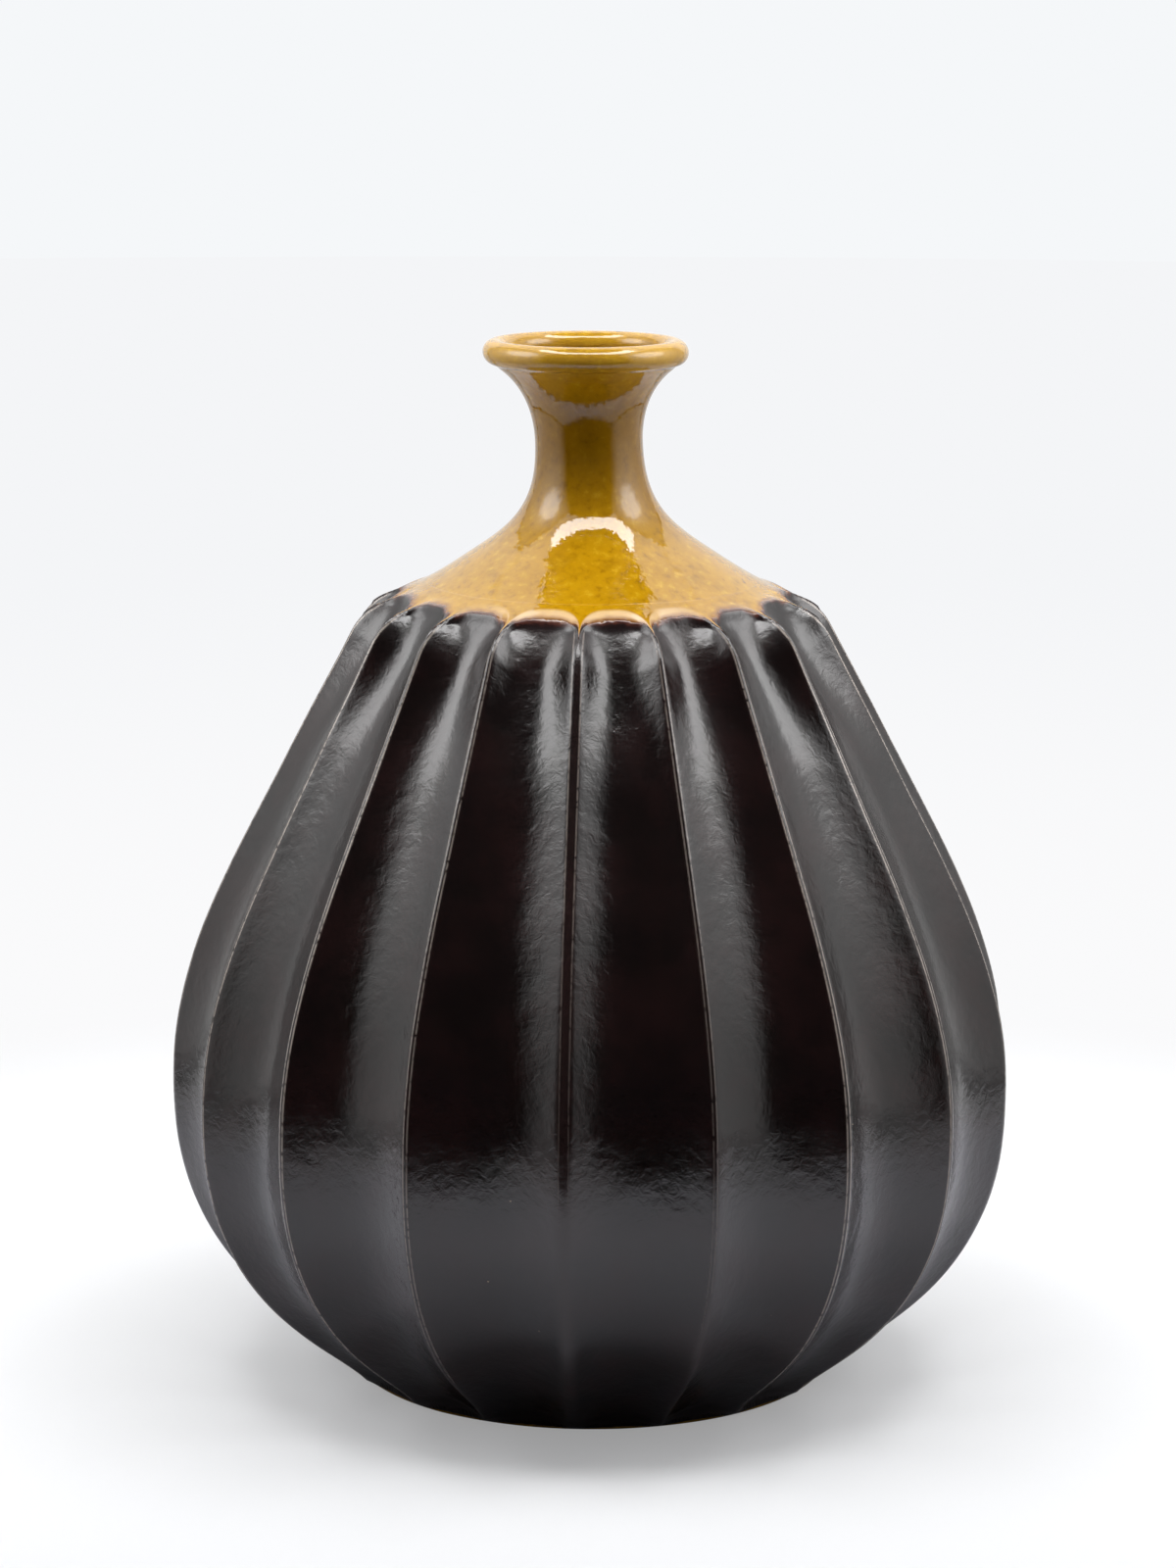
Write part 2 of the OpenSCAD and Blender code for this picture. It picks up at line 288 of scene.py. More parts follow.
def depth_to_line(run, line):
    """How far the way in from the outline goes until it meets a line."""
    place, inward = outline_at(run), way_in(run)
    for first, last in zip(line, line[1:]):
        step, gap = last - first, first - place
        cross = inward.x * step.y - inward.y * step.x
        share = (gap.x * inward.y - gap.y * inward.x) / cross
        if -SLACK <= share <= 1 + SLACK:
            return max((gap.x * step.y - gap.y * step.x) / cross, 0.0)
    return 0.0


level_at = outline_at(LEVEL_RUN)
floor_ends_at = level_at + full_depth(level_at.x) * way_in(LEVEL_RUN)
floor_starts_at = outline_at(ARCH_TOP)
under_edge_at = edge_at + EDGE_DEPTH * way_in(edge_run)
floor_line = (
    [floor_starts_at]
    + sweep_to(floor_starts_at, ENTRY_HEADING, 0.3, under_edge_at, UNDER_EDGE_HEADING, 0.3, 40)
    + sweep_to(under_edge_at, UNDER_EDGE_HEADING, 0.3,
               floor_ends_at, side_heading - LEVEL_TURN, 0.3, 40)
)
upper_depths = [depth_to_line(run / 2, floor_line) for run in range(2 * LEVEL_RUN)]
upper_depths.append(full_depth(level_at.x))


def middle_depth(run):
    """Depth at the middle of a flute: the floor line's above, the even one below."""
    if run >= LEVEL_RUN:
        return full_depth(outline_at(run).x)
    low = int(2 * run)
    return upper_depths[low] + (upper_depths[low + 1] - upper_depths[low]) * (2 * run - low)


print("floor of a flute, mm deep down from the arch:", [round(d, 1) for d in upper_depths[::12]])

# %% [markdown]
# ## The depth at any place
#
# The share across a flute and the depth down it multiply. Just below the arch the flute
# is flatter across, and the depth is no more than a steady slope down from the rim. The
# lesser of the two is taken, with a small round where they cross.

# %% Depth at any place
# RIM_SLOPE is depth by run below the rim. The flutes are flatter down to FLAT_UNTIL.
RIM_SLOPE = 1.3
RIM_ROUND = 0.8
CUT_BLEND = 0.8
FLAT_SHARE = 0.22
FLAT_UNTIL = 24


def flute_depth(run, across, width_turn, land=LAND):
    """How far the wall lies inside the outline, in millimetres. A proud rim is below 0."""
    below = run - arch_run(across)
    proud = proud_rim(below, across)
    if below <= 0:
        return -proud
    radius = outline_at(run).x
    half = radius * math.radians(width_turn) / 2
    flat = FLAT_SHARE * min(max((FLAT_UNTIL - run) / (FLAT_UNTIL - edge_run), 0.0), 1.0)
    scooped = middle_depth(run) * scoop_share((1 - abs(across)) * half, half, land) ** (1 - flat)
    cut_in = RIM_SLOPE * below * below / (below + RIM_ROUND) - proud
    near = max(CUT_BLEND - abs(scooped - cut_in), 0.0) / CUT_BLEND
    return max(min(scooped, cut_in) - near * near * CUT_BLEND / 4, -proud)


for run in (ARCH_TOP + 1, edge_run, widest_run):
    print(f"a flute is {flute_depth(run, 0, PITCH):.1f} mm deep {run:.0f} mm below the collar")

# %% [markdown]
# ## A wall that strays
#
# No thrown and scooped wall is quite true. A slow noise moves each point by up to two
# tenths of a millimetre, and the neck leans two degrees to the left, as it does in the
# picture. A Displace modifier could do it, but then each piece would need its own, and
# one function for all sections makes sure that neighbours still meet.

# %% Let the wall stray
# WANDER has pairs of how far and over what length. The lean starts at LEAN_FROM.
WANDER = ((0.16, 22.0), (0.05, 8.0))
LEAN_SLOPE = 0.038
LEAN_FROM = 224
LEAN_SOFT = 6


def stray(place, outward):
    """Where a place of the true shape lies on the hand-made pot, in millimetres."""
    out = sum(reach * noise.noise(place / wave) for reach, wave in WANDER)
    above = place.z - LEAN_FROM
    lean = LEAN_SLOPE * (math.hypot(above, LEAN_SOFT) + above) / 2
    return place + outward * out - Vector((lean, 0, 0))


print(f"the lip lies {-stray(Vector((0, 0, height)), Vector((0, 0, 0))).x:.1f} mm left of the axis")

# %% [markdown]
# ## Turning a section
#
# Every section starts the way the potter makes it: a profile is turned about the axis.
# In mesh code that is `bmesh.ops.spin` of a closed chain of edges. The operator slows
# down fast as steps are added, so one flute's width is spun, copied round the pot and
# merged. Joint faces are marked sharp so that the smooth shading of the wall runs up to
# them undisturbed, and the seams between sections don't show under the glaze.

# %% Spin a profile
MERGE_WITHIN = 1e-3


def spin_profile(profile, columns, mark=None):
    """Spins a closed profile into a bmesh. mark gives each profile point a number to carry."""
    mesh = bmesh.new()
    layer = mesh.verts.layers.float.new("mark")
    ring = []
    for index, point in enumerate(profile):
        vert = mesh.verts.new((0.0, -point.x, point.y))
        vert[layer] = mark[index] if mark else 0.0
        ring.append(vert)
    for index, vert in enumerate(ring):
        mesh.edges.new((vert, ring[(index + 1) % len(ring)]))
    bmesh.ops.spin(
        mesh, geom=mesh.verts[:] + mesh.edges[:], cent=(0, 0, 0), axis=(0, 0, 1),
        dvec=(0, 0, 0), angle=2 * math.pi / FLUTES, steps=columns // FLUTES,
    )
    sector = mesh.verts[:] + mesh.edges[:] + mesh.faces[:]
    for index in range(1, FLUTES):
        copied = bmesh.ops.duplicate(mesh, geom=sector)["geom"]
        verts = [item for item in copied if isinstance(item, bmesh.types.BMVert)]
        turned = Matrix.Rotation(2 * math.pi * index / FLUTES, 3, "Z")
        bmesh.ops.rotate(mesh, verts=verts, cent=(0, 0, 0), matrix=turned)
    bmesh.ops.remove_doubles(mesh, verts=mesh.verts[:], dist=MERGE_WITHIN)
    bmesh.ops.recalc_face_normals(mesh, faces=mesh.faces[:])
    return mesh


print("one flute in", FLUTES, "is spun, points merge within", MERGE_WITHIN, "mm")


# %% Make a piece of a mesh
SHARP_TURN = math.radians(38)


def finish_piece(mesh, name):
    """Marks sharp edges, turns millimetres to metres and makes the object."""
    for face in mesh.faces:
        face.smooth = True
    for edge in mesh.edges:
        if len(edge.link_faces) == 2 and edge.calc_face_angle(0.0) > SHARP_TURN:
            edge.smooth = False
    bmesh.ops.scale(mesh, vec=(MM, MM, MM), verts=mesh.verts[:])
    data = bpy.data.meshes.new(name)
    mesh.to_mesh(data)
    mesh.free()
    piece = bpy.data.objects.new(name, data)
    bpy.context.scene.collection.objects.link(piece)
    print(f"{name}: {len(data.polygons)} faces, {len(data.vertices)} points")
    return piece


# %% [markdown]
# ## The hollow
#
# The inside shows only in the mouth, but the wall has its real thickness all the way
# down, so that the mesh is true from any side. The hollow's line stands back from the
# outside by the wall, and behind the flutes it follows their deepest lines.

# %% Draw the hollow
INWARDS = 180
END_CLEAR = 0.2

flare_wall = 3.9
throat_wall = 4.4
shoulder_wall = 5.2
body_wall = 5.5
hollow_flare_heading = -119
hollow_side_from = edge_run + 18
hollow_side_to = run_total - 30
hollow_side_steps = 24


def behind_flute(run):
    """The place inside the wall, behind the middle of a flute."""
    return outline_at(run) + (body_wall + flute_depth(run, 0, PITCH)) * way_in(run)


def hollow_heading(run):
    """The heading of the outline there, square to the way in."""
    inward = way_in(run)
    return math.degrees(math.atan2(inward.x, -inward.y))


hollow_flare_at = flare_at - Vector((flare_wall, 0))
hollow_throat_at = throat_at - Vector((throat_wall, 0))
hollow_neck_foot_at = along(neck_foot_at, neck_foot_heading - 90, shoulder_wall)
hollow_floor_at = Vector((floor_d / 2 + body_wall / 2, floor_top))
hollow_side = [
    behind_flute(hollow_side_from + (hollow_side_to - hollow_side_from) * step / hollow_side_steps)
    for step in range(hollow_side_steps + 1)
]
hollow_line = (
    [hollow_flare_at]
    + sweep_to(hollow_flare_at, hollow_flare_heading, 0.3, hollow_throat_at, DOWN, 0.3, 16)
    + sweep_to(hollow_throat_at, DOWN, 0.5, hollow_neck_foot_at, neck_foot_heading, 0.3, 16)
    + sweep_to(hollow_neck_foot_at, neck_foot_heading, 0.3,
               hollow_side[0], hollow_heading(hollow_side_from), 0.2, 16)
    + hollow_side[1:]
    + sweep_to(hollow_side[-1], hollow_heading(hollow_side_to), 0.34,
               hollow_floor_at, INWARDS, 0.34, 10)
)


def hollow_between(high, low):
    """The hollow's points from one height down to a lower one, both ends cut exactly."""
    def cut(level):
        for above, below in zip(hollow_line, hollow_line[1:]):
            if level > below.y:
                part = (above.y - level) / (above.y - below.y)
                return above.lerp(below, max(part, 0.0))
        return hollow_line[-1].copy()

    inside = [p for p in hollow_line if low + END_CLEAR < p.y < high - END_CLEAR]
    return [cut(high)] + inside + [cut(low)]


print(f"hollow: {len(hollow_line)} points down to {floor_top:.1f} mm")

# %% [markdown]
# ## Lip, neck and shoulder
#
# The lip is rolled over by the fingers: a round bead that curls in under itself before
# the trumpet starts. One profile gives it, with the bead as a true arc. The neck and the
# shoulder are plain turned walls. Each section is its own closed piece, as the potter
# would lute them, and stands for its section of the frame.

# %% Turn the lip, the neck and the shoulder
COLUMNS = 360
BEAD_FROM = -78
BEAD_TO = 205
BEAD_STEP = 6
END_SHARES = (0.08, 0.25, 0.55)


def close_ends(line):
    """More points beside both joints, so that a mirrored edge runs on across the seam."""
    first = [line[0].lerp(line[1], share) for share in END_SHARES]
    last = [line[-1].lerp(line[-2], share) for share in reversed(END_SHARES)]
    return [line[0]] + first + line[1:-1] + last + [line[-1]]


def turned_section(name, outside, inside):
    """A closed ring between two joints: outside from the top down, inside back up."""
    mesh = spin_profile(close_ends(outside) + list(reversed(inside)), COLUMNS)
    for vert in mesh.verts:
        vert.co = stray(vert.co, Vector((vert.co.x, vert.co.y, 0)).normalized())
    return finish_piece(mesh, name)


lip_bead_r = 3.35
bead_at = Vector((lip_d / 2 - lip_bead_r, height - lip_bead_r))
bead_turns = range(BEAD_FROM, BEAD_TO + 1, BEAD_STEP)
bead = [along(bead_at, turn, lip_bead_r) for turn in bead_turns]
curl = sweep_to(flare_at, flare_heading + 180, 0.3, bead[0], BEAD_FROM + 90, 0.25, 10)
inner_lip = sweep_to(
    bead[-1], BEAD_TO + 90, 0.3, hollow_flare_at, hollow_flare_heading, 0.3, 10
)
lip_outside = list(reversed([flare_at] + curl + bead[1:]))
lip = turned_section("rolled_lip", lip_outside, list(reversed(inner_lip)))
neck = turned_section("trumpet_neck", neck_line, hollow_between(lip_joint_z, shoulder_high))
shoulder_inside = hollow_between(shoulder_high, collar_z)
shoulder = turned_section("domed_shoulder", shoulder_line, shoulder_inside)

# %% [markdown]
# ## Rows and columns
#
# The surface bends fastest at the ridges and at the rims of the arches. An even grid
# fine enough for them would be far too heavy, so the columns gather towards the ridges,
# and the rows follow the arches so that the arch edge stays crisp.

# %% Rows and columns of the body
FLUTE_COLUMNS = 24
ROWS_TO_ARCH = 14
ROWS_TO_LEVEL = 62
ROWS_TO_HEEL = 78
ROW_GROWTH = 1.35
STEEP_END = 0.86
GATHER = 0.72


def row_marks():
    """A mark for each row: 0 to 1 above the arch, 1 to 2 below it, 2 to 3 level rows."""
    above = [row / ROWS_TO_ARCH for row in range(ROWS_TO_ARCH)]
    below = [1 + (row / ROWS_TO_LEVEL) ** ROW_GROWTH for row in range(ROWS_TO_LEVEL)]
    level = [2 + row / ROWS_TO_HEEL for row in range(ROWS_TO_HEEL + 1)]
    return above + below + level


def run_of(mark, across):
    """The run of a row at a place across the flute."""
    arch = arch_run(min(abs(across), STEEP_END))
    if mark <= 1:
        return arch * mark
    if mark <= 2:
        return arch + (LEVEL_RUN - arch) * (mark - 1)
    return LEVEL_RUN + (run_total - LEVEL_RUN) * (mark - 2)


def flute_place(turn_share):
    """Which flute a column is in, and where across it, with columns gathered at ridges."""
    index = math.floor(turn_share * FLUTES)
    even = 2 * (turn_share * FLUTES - index) - 1
    return index, even * (1 - GATHER) + GATHER * (1.5 * even - 0.5 * even ** 3)


skin_marks = row_marks()
print(len(skin_marks), "rows and", FLUTES * FLUTE_COLUMNS, "columns on the outside")

# %% [markdown]
# ## The fluted body
#
# The body is spun as plain as the shoulder and then scooped: every point is moved to its
# place on the fluted surface. Three numbers are kept on each point for the glazes: how
# far it lies below its arch, how far it is from the nearest ridge, and how far from the
# edge of that ridge's land.

# %% Spin the body
INSIDE = -1.0

heel_round = 2.6
skin_line = [outline_at(run_of(mark, 0)) for mark in skin_marks]
under_at = Vector((heel_at.x - heel_round, foot_reveal))
seat_line = [under_at, Vector((floor_d / 2, foot_reveal)), Vector((floor_d / 2, floor_top))]
inner_line = list(reversed(hollow_between(collar_z, floor_top)))
body_mesh = spin_profile(
    skin_line + seat_line + inner_line, FLUTES * FLUTE_COLUMNS,
    skin_marks + [INSIDE] * (len(seat_line) + len(inner_line)),
)
print(len(body_mesh.verts), "points turned")

# %% Scoop the flutes
FAR_ABOVE_ARCH = -50.0
FAR_FROM_RIDGE = 20.0

mark_layer = body_mesh.verts.layers.float["mark"]
arch_layer = body_mesh.verts.layers.float.new("below_arch")
ridge_layer = body_mesh.verts.layers.float.new("from_ridge")
land_layer = body_mesh.verts.layers.float.new("from_land")
full_turn = 2 * math.pi
for vert in body_mesh.verts:
    turn_share = (math.atan2(vert.co.x, -vert.co.y) / full_turn + 1e-6) % 1.0
    index, across = flute_place(turn_share)
    left, right = ridge_turn(index), ridge_turn(index + 1)
    turn = math.radians(left + (right - left) * (across + 1) / 2)
    mark = vert[mark_layer]
    if mark >= 0:
        run = run_of(mark, across)
        land = land_beside(index % FLUTES, across)
        depth = flute_depth(run, across, right - left, land)
        place = outline_at(run) + depth * way_in(run)
        vert[arch_layer] = run - arch_run(across)
        vert[ridge_layer] = (1 - abs(across)) * place.x * math.radians(right - left) / 2
        vert[land_layer] = vert[ridge_layer] - land
    else:
        place = Vector((math.hypot(vert.co.x, vert.co.y), vert.co.z))
        vert[arch_layer] = FAR_ABOVE_ARCH
        vert[ridge_layer] = FAR_FROM_RIDGE
        vert[land_layer] = FAR_FROM_RIDGE
    outward = Vector((math.sin(turn), -math.cos(turn), 0))
    vert.co = stray(outward * place.x + Vector((0, 0, place.y)), outward)
body = finish_piece(body_mesh, "scooped_body")

# %% [markdown]
# ## Colours and nodes
#
# Colours are written as sRGB hex values, as they are picked. Shaders work in linear light, so one
# function turns them. A second small function adds a node. Plain values fill the inputs that the
# node shows, from the top down, and named ones go to the input of that name. Some nodes come again
# and again with the same settings, such as a Math node that multiplies, so these pairs of a kind
# and its settings have short names. Each material then reads like a recipe.

# %% Turn colours to linear light
def linear(hex_colour):
    """An sRGB hex value such as #b0882e as a linear colour with alpha."""
    parts = [int(hex_colour[start:start + 2], 16) / 255 for start in (1, 3, 5)]
    return [c / 12.92 if c <= 0.04045 else ((c + 0.055) / 1.055) ** 2.4 for c in parts] + [1.0]


print(f"the mid grey #808080 is {linear('#808080')[0]:.3f} in linear light")

# %% Add nodes
TIMES = ("Math", {"operation": "MULTIPLY"})
PLUS = ("Math", {"operation": "ADD"})
MINUS = ("Math", {"operation": "SUBTRACT"})
LARGER = ("Math", {"operation": "MAXIMUM"})
UNSIGNED = ("Math", {"operation": "ABSOLUTE"})
FADE = ("MapRange", {"interpolation_type": "SMOOTHSTEP"})
BLEND = ("Mix", {"data_type": "RGBA"})


def add(tree, kind, *values, **inputs):
    """Adds a node of a kind, or of a kind with settings. An input is a value, an output
    socket to link, or a node, which is linked from the first output that it shows."""
    kind, settings = (kind, {}) if isinstance(kind, str) else kind
    node = tree.nodes.new("ShaderNode" + kind)
    for name, value in settings.items():
        setattr(node, name, value)
    pairs = list(zip([socket for socket in node.inputs if socket.enabled], values))
    pairs += [(node.inputs[name.replace("_", " ")], value) for name, value in inputs.items()]
    for socket, value in pairs:
        if isinstance(value, bpy.types.Node):
            value = next(output for output in value.outputs if output.enabled)
        if isinstance(value, bpy.types.NodeSocket):
            tree.links.new(value, socket)
        else:
            socket.default_value = value
    return node


# %% Start and finish a material
def new_material(name):
    material = bpy.data.materials.new(name)
    material.use_nodes = True
    material.node_tree.nodes.clear()
    return material, material.node_tree


def per_metre(millimetres):
    """A noise scale whose waves are about this many millimetres long."""
    return 1 / (millimetres * MM)


def finish_surface(tree, colour, roughness, relief, ior):
    """Joins the parts of a recipe to a shader. The relief is in millimetres."""
    bump = add(tree, "Bump", Strength=1.0, Distance=MM, Height=relief)
    surface = add(
        tree, "BsdfPrincipled", Base_Color=colour, Roughness=roughness, IOR=ior, Normal=bump
    )
    add(tree, "OutputMaterial", Surface=surface)
    print("surface of", len(tree.nodes), "nodes")


# %% [markdown]
# ## The amber glaze
#
# An iron amber glaze is a clear glass coloured by a little iron, over a light clay. It is glossy
# and smooth, a warm yellow brown, and an olive brown on the neck. On the lip it is paler, partly
# where it lies thin and partly as a painted reflection. Small bubbles and undissolved grains make
# it mottled at two to eight millimetres, and its surface has a faint orange peel that frays the
# edges of reflections. An image of it would stretch on the turned form, so noises of the real sizes
# draw it. Glaze is a glass: an IOR of 1.55 and a low roughness, here about 0.05.

# %% Amber glaze recipe
# The glaze is darker between the two pairs of heights. It is paler above LIP_FADE, partly where the
# glaze lies thin and partly as a painted reflection of the bright tent in the mouth.
GLAZE_IOR = 1.55
NECK_FADES = (0.222, 0.250), (0.273, 0.262)
LIP_FADE = (0.270, 0.274)


def amber_layer(tree, where):
    """Colour, roughness and relief of the amber glaze at Object coordinates."""
    clouds = add(tree, "TexNoise", Vector=where, Scale=per_metre(26), Detail=3.0)
    mottle = add(tree, "TexNoise", Vector=where, Scale=per_metre(2.6), Detail=5.0, Roughness=0.6)
    drawn_out = add(tree, "Mapping", Vector=where, Scale=(1.0, 1.0, 0.25))
    runs = add(tree, "TexNoise", Vector=drawn_out, Scale=per_metre(6), Detail=4.0, Roughness=0.6)
    cloudy = add(tree, FADE, clouds, 0.36, 0.66)
    colour = add(tree, BLEND, cloudy, linear("#9d7409"), linear("#906808"))
    colour = add(tree, BLEND, add(tree, FADE, mottle, 0.50, 0.80), colour, linear("#7c5708"))
    colour = add(tree, BLEND, add(tree, FADE, mottle, 0.48, 0.24), colour, linear("#ad871c"))
    run_share = add(tree, TIMES, add(tree, FADE, runs, 0.52, 0.74), 0.4)
    colour = add(tree, BLEND, run_share, colour, linear("#73500a"))
    level = add(tree, "SeparateXYZ", Vector=where).outputs["Z"]
    darker_on_neck = add(tree, TIMES, *(add(tree, FADE, level, *ends) for ends in NECK_FADES))
    colour = add(tree, BLEND, add(tree, TIMES, darker_on_neck, 0.5), colour, linear("#5f3d04"))
    # Paler lip: partly thin glaze, partly a painted reflection.
    paler_lip_and_sheen = add(tree, FADE, level, *LIP_FADE)
    colour = add(tree, BLEND, add(tree, TIMES, paler_lip_and_sheen, 0.15), colour, linear("#c5a24c"))
    peel = add(tree, "TexNoise", Vector=where, Scale=per_metre(1.7), Detail=1.0)
    waves = add(tree, "TexNoise", Vector=where, Scale=per_metre(9), Detail=1.0)
    relief = add(tree, PLUS, add(tree, TIMES, peel, 0.05), add(tree, TIMES, waves, 0.12))
    roughness = add(tree, PLUS, add(tree, TIMES, mottle, 0.04), 0.03)
    return colour, roughness, relief


# %% Amber glaze of the lip, the neck and the shoulder
amber_glaze, tree = new_material("amber_glaze_glossy")
where = add(tree, "TexCoord").outputs["Object"]
finish_surface(tree, *amber_layer(tree, where), GLAZE_IOR)

# %% [markdown]
# ## The aubergine glaze
#
# The darker glaze is rich in iron and manganese. It is nearly black with a red brown cast where
# light gets into it, and satin: its roughness is about 0.17. It was brushed over the flutes and has
# a strong orange peel of two to nine millimetres, which frays the reflections like feathers. Where
# it drew off the edges of the ridges it breaks to thin lines, and a few pale grains stand in it.
# The pale lines on the ridges are partly that break and partly a painted highlight, stronger to the
# sides and high up. A noise alone wouldn't find the ridges, so the lines read a number that each
# point of the body carries, its distance from the edge of the land.

# %% Aubergine glaze recipe
GRAIN_CELL = 5.5
GRAIN_CHANCE = (0.88, 0.93)


def aubergine_layer(tree, where, from_land, below_arch):
    """Colour, roughness and relief of the dark glaze at Object coordinates."""
    clouds = add(tree, "TexNoise", Vector=where, Scale=per_metre(18), Detail=5.0, Roughness=0.6)
    cloudy = add(tree, FADE, clouds, 0.35, 0.7)
    colour = add(tree, BLEND, cloudy, linear("#0e0807"), linear("#1a0d0c"))
    fray = add(tree, "TexNoise", Vector=where, Scale=per_metre(1.6), Detail=3.0)
    thin = add(tree, FADE, from_land, 1.0, 0.1)
    thin = add(tree, TIMES, thin, add(tree, FADE, fray, 0.2, 0.5))
    colour = add(tree, BLEND, add(tree, TIMES, thin, 0.3), colour, linear("#2a1f1d"))
    # Pale ridge lines: partly glaze broken thin at the land's edge, partly a painted highlight that
    # is stronger to the sides and high up.
    pale = add(tree, FADE, add(tree, UNSIGNED, from_land), 0.32, 0.05)
    pale = add(tree, TIMES, pale, add(tree, FADE, fray, 0.25, 0.5))
    place = add(tree, "SeparateXYZ", Vector=where).outputs
    highlight_to_side = add(tree, FADE, add(tree, UNSIGNED, place["X"]), 0.02, 0.07)
    highlight_high_up = add(tree, TIMES, add(tree, FADE, place["Z"], 0.05, 0.20), 0.2)
    shows = add(tree, PLUS, add(tree, TIMES, highlight_to_side, 0.36), highlight_high_up)
    shows = add(tree, TIMES, shows, add(tree, FADE, below_arch, 0.0, 3.0))
    colour = add(tree, BLEND, add(tree, TIMES, pale, shows), colour, linear("#c4b8ae"))
    grains = add(tree, "TexVoronoi", Vector=where, Scale=per_metre(GRAIN_CELL))
    chance = add(tree, "TexWhiteNoise", Vector=grains.outputs["Position"])
    few = add(tree, FADE, chance, *GRAIN_CHANCE)
    dots = add(tree, TIMES, add(tree, FADE, grains, 0.045, 0.02), few)
    colour = add(tree, BLEND, dots, colour, linear("#b3a18c"))
    peel = add(
        tree, "TexNoise", Vector=where, Scale=per_metre(2.3), Detail=3.0, Roughness=0.6,
        Distortion=0.6,
    )
    waves = add(tree, "TexNoise", Vector=where, Scale=per_metre(9), Detail=2.0)
    relief = add(tree, PLUS, add(tree, TIMES, peel, 0.11), add(tree, TIMES, waves, 0.24))
    roughness = add(tree, PLUS, add(tree, TIMES, clouds, 0.08), 0.13)
    return colour, roughness, relief


grain_every = 1 / (1 - sum(GRAIN_CHANCE) / 2)
print(f"one cell of {GRAIN_CELL} mm in {grain_every:.0f} has a pale grain")

# %% [markdown]
# ## Where the glazes meet
#
# The amber glaze was poured over the shoulder. It ends just above the rims of the arches
# and runs over them at the front, but not down the ridges. There the dark glaze starts,
# with a brown red fringe where the two melted into each other. Painting such a line by
# hand would take a map, but the points of the body already carry their distance below
# the arch, so a mask reads it and a noise makes the line uneven.

# %% The line between the glazes
# The two fades are in metres and mark the front arches. The rest is in millimetres.
FRONT_FADE = (-0.030, -0.056)
MIDDLE_FADE = (0.032, 0.018)
FRONT_RUN = 1.2
SHORT_OF_ARCH = 0.7
HELD_AT_RIDGE = 3.0
WOBBLE = 3.0

body_glaze, tree = new_material("aubergine_glaze_satin")
where = add(tree, "TexCoord").outputs["Object"]
place = add(tree, "SeparateXYZ", Vector=where).outputs
below_arch, from_ridge, from_land = (
    add(tree, ("Attribute", {"attribute_name": name})).outputs["Fac"]
    for name in ("below_arch", "from_ridge", "from_land")
)
to_front = add(tree, FADE, place["Y"], *FRONT_FADE)
near_middle = add(tree, FADE, add(tree, UNSIGNED, place["X"]), *MIDDLE_FADE)
front_arches = add(tree, TIMES, to_front, near_middle)
overflow = add(tree, MINUS, add(tree, TIMES, front_arches, FRONT_RUN), SHORT_OF_ARCH)
overflow = add(tree, TIMES, overflow, add(tree, FADE, from_ridge, 1.5, 6.0))
held_back = add(tree, TIMES, add(tree, FADE, from_ridge, 2.6, 0.0), HELD_AT_RIDGE)
overflow = add(tree, MINUS, overflow, held_back)
drip = add(tree, "TexNoise", Vector=where, Scale=per_metre(6), Detail=3.0)
wobble = add(tree, TIMES, add(tree, MINUS, drip, 0.5), WOBBLE)
past_line = add(tree, PLUS, add(tree, MINUS, below_arch, overflow), wobble)
dark_share = add(tree, FADE, past_line, -0.5, 0.7)
amber_share = add(tree, MINUS, 1.0, dark_share)
fringe = add(tree, FADE, past_line, -2.6, 0.0)
fringe = add(tree, TIMES, fringe, add(tree, FADE, past_line, 1.6, 0.2))
print("mask of", len(tree.nodes), "nodes")

# %% [markdown]
# ## Both glazes on one surface
#
# The mask mixes colour, roughness and relief. The front rims are paler, partly because glaze drains
# off an edge that stands proud and partly as a painted highlight on the rims that face the front.
# The dark glaze lies a quarter of a millimetre higher, as a second coat does, and is a little
# duller just below the arches, where it took up some of the amber.

# %% Two glazes on the body
SECOND_COAT = 0.25
DULL_BELOW_ARCH = 0.07
RIM_BREAK_AND_HIGHLIGHT = "#cdb697"
FRINGE = "#5e3024"
FRINGE_SHARE = 0.65

amber_colour, amber_rough, amber_relief = amber_layer(tree, where)
dark_colour, dark_rough, dark_relief = aubergine_layer(tree, where, from_land, below_arch)
# Pale front rims: partly glaze drained thin off the proud edge, partly a painted highlight.
off_rim = add(tree, UNSIGNED, add(tree, PLUS, below_arch, 2.2))
pale_and_highlit_rims = add(tree, TIMES, add(tree, FADE, off_rim, 3.0, 1.4), 0.7)
pale_and_highlit_rims = add(tree, TIMES, pale_and_highlit_rims, front_arches)
colour = add(tree, BLEND, pale_and_highlit_rims, amber_colour, linear(RIM_BREAK_AND_HIGHLIGHT))
colour = add(tree, BLEND, dark_share, colour, dark_colour)
colour = add(tree, BLEND, add(tree, TIMES, fringe, FRINGE_SHARE), colour, linear(FRINGE))
dark_part = add(tree, TIMES, dark_rough, dark_share)
roughness = add(tree, PLUS, add(tree, TIMES, amber_rough, amber_share), dark_part)
dull = add(tree, TIMES, add(tree, FADE, below_arch, 14.0, 7.0), DULL_BELOW_ARCH)
roughness = add(tree, PLUS, roughness, add(tree, TIMES, dull, dark_share))
dark_part = add(tree, TIMES, add(tree, PLUS, dark_relief, SECOND_COAT), dark_share)
relief = add(tree, PLUS, add(tree, TIMES, amber_relief, amber_share), dark_part)
finish_surface(tree, colour, roughness, relief, GLAZE_IOR)

